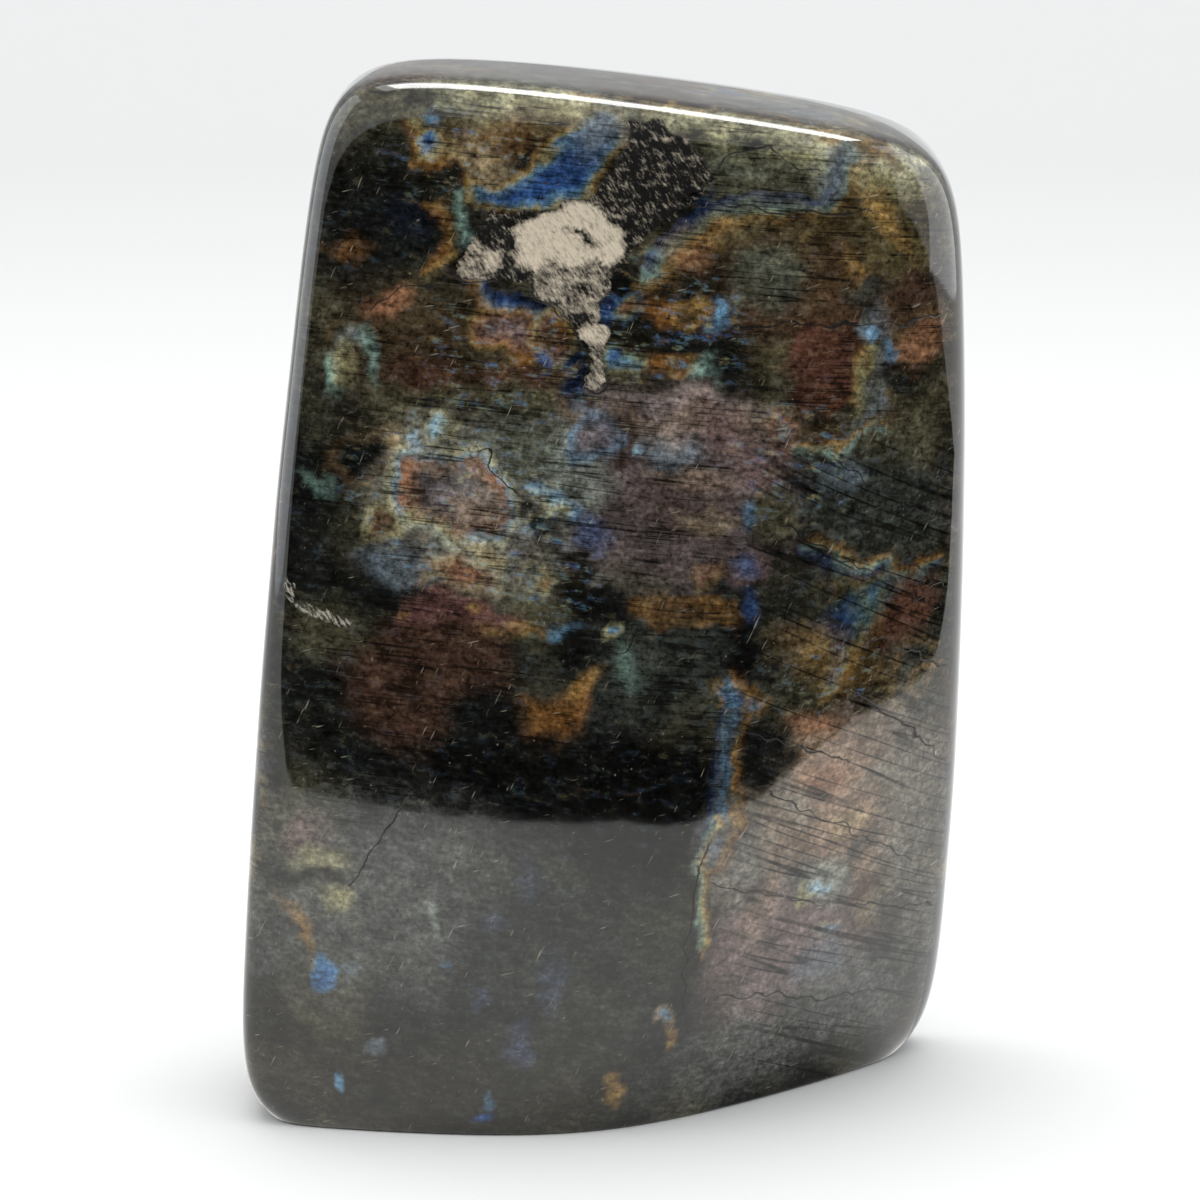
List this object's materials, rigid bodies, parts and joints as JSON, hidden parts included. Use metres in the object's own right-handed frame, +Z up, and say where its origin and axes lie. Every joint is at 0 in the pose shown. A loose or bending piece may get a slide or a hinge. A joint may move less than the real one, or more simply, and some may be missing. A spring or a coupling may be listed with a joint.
{
  "type": "labradorite freeform",
  "caption": "Polished freestanding block of dark labradorite with gently crowned faces, rounded edges and a sawn flat base, for display on a shelf or table.",
  "frame": {"origin": "on the supporting surface, under the middle of the stone's bounding box", "axes": "+Z up out of the flat base, +Y from the broad front face towards the back, +X towards the stone's right as seen from the front"},
  "size_m": [0.11, 0.0576, 0.1588],
  "materials": {
    "polished_labradorite": "polished"
  },
  "bodies": {
    "root": {"labradorite_stone": "polished_labradorite"}
  },
  "joints": []
}
